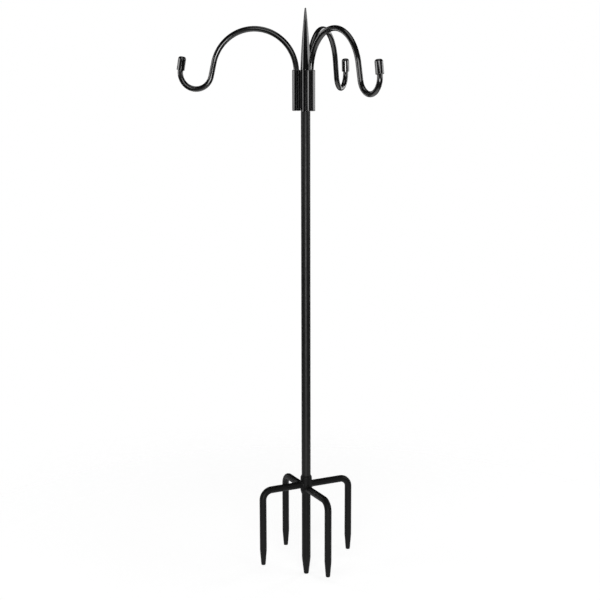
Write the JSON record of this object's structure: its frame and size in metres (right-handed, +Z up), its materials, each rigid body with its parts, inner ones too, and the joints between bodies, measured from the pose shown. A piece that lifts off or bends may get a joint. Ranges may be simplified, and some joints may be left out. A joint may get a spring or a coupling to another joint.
{
  "type": "hanging plant stand",
  "caption": "Slim black garden pole with a pointed top, swivelling crook arms with capped hooks for hanging pots, and a pronged ground stake.",
  "frame": {"origin": "on the pole axis at the ground line, where the centre spike leaves the collar", "axes": "+Z up along the pole, +X to the right and +Y away from the viewer in the picture"},
  "size_m": [0.4019, 0.4716, 1.1765],
  "materials": {
    "gloss_coat": "semi-gloss black powder coat",
    "arm_coat": "semi-gloss black powder coat",
    "pole_coat": "satin black powder coat",
    "stake_coat": "matt black powder coat",
    "cap_rubber": "glossy black moulded rubber",
    "bare_steel": "turned steel, hidden inside the tubes"
  },
  "bodies": {
    "stand": {"finial": "gloss_coat", "hub_tube": "gloss_coat", "sleeve_left": "gloss_coat", "sleeve_front": "gloss_coat", "sleeve_back": "gloss_coat", "hub_welds": "gloss_coat", "hub_nut": "bare_steel", "upper_pole": "pole_coat", "upper_pole_stud": "bare_steel", "upper_pole_nut": "bare_steel", "lower_pole": "pole_coat", "lower_pole_stud": "bare_steel", "lower_pole_nut": "bare_steel", "base_stud": "bare_steel", "base_collar": "stake_coat", "centre_spike": "stake_coat", "prong_left": "stake_coat", "prong_front": "stake_coat", "prong_right": "stake_coat", "prong_back": "stake_coat", "base_welds": "stake_coat"},
    "arm_left": {"hook_arm_left": "arm_coat", "hook_cap_left": "cap_rubber"},
    "arm_front": {"hook_arm_front": "arm_coat", "hook_cap_front": "cap_rubber"},
    "arm_back": {"hook_arm_back": "arm_coat", "hook_cap_back": "cap_rubber"}
  },
  "joints": [
    {"name": "arm_left_swivel", "type": "hinge", "parent": "stand", "child": "arm_left", "pos_m": [-0.01808, -0.0019, 0.8375], "axis": [0, 0, 1], "range_deg": [-44.8, 75.2]},
    {"name": "arm_front_swivel", "type": "hinge", "parent": "stand", "child": "arm_front", "pos_m": [0.01069, -0.01471, 0.8375], "axis": [0, 0, 1], "range_deg": [-55.8, 64.2]},
    {"name": "arm_back_swivel", "type": "hinge", "parent": "stand", "child": "arm_back", "pos_m": [0.00739, 0.01661, 0.8375], "axis": [0, 0, 1], "range_deg": [-64.5, 55.5]}
  ]
}
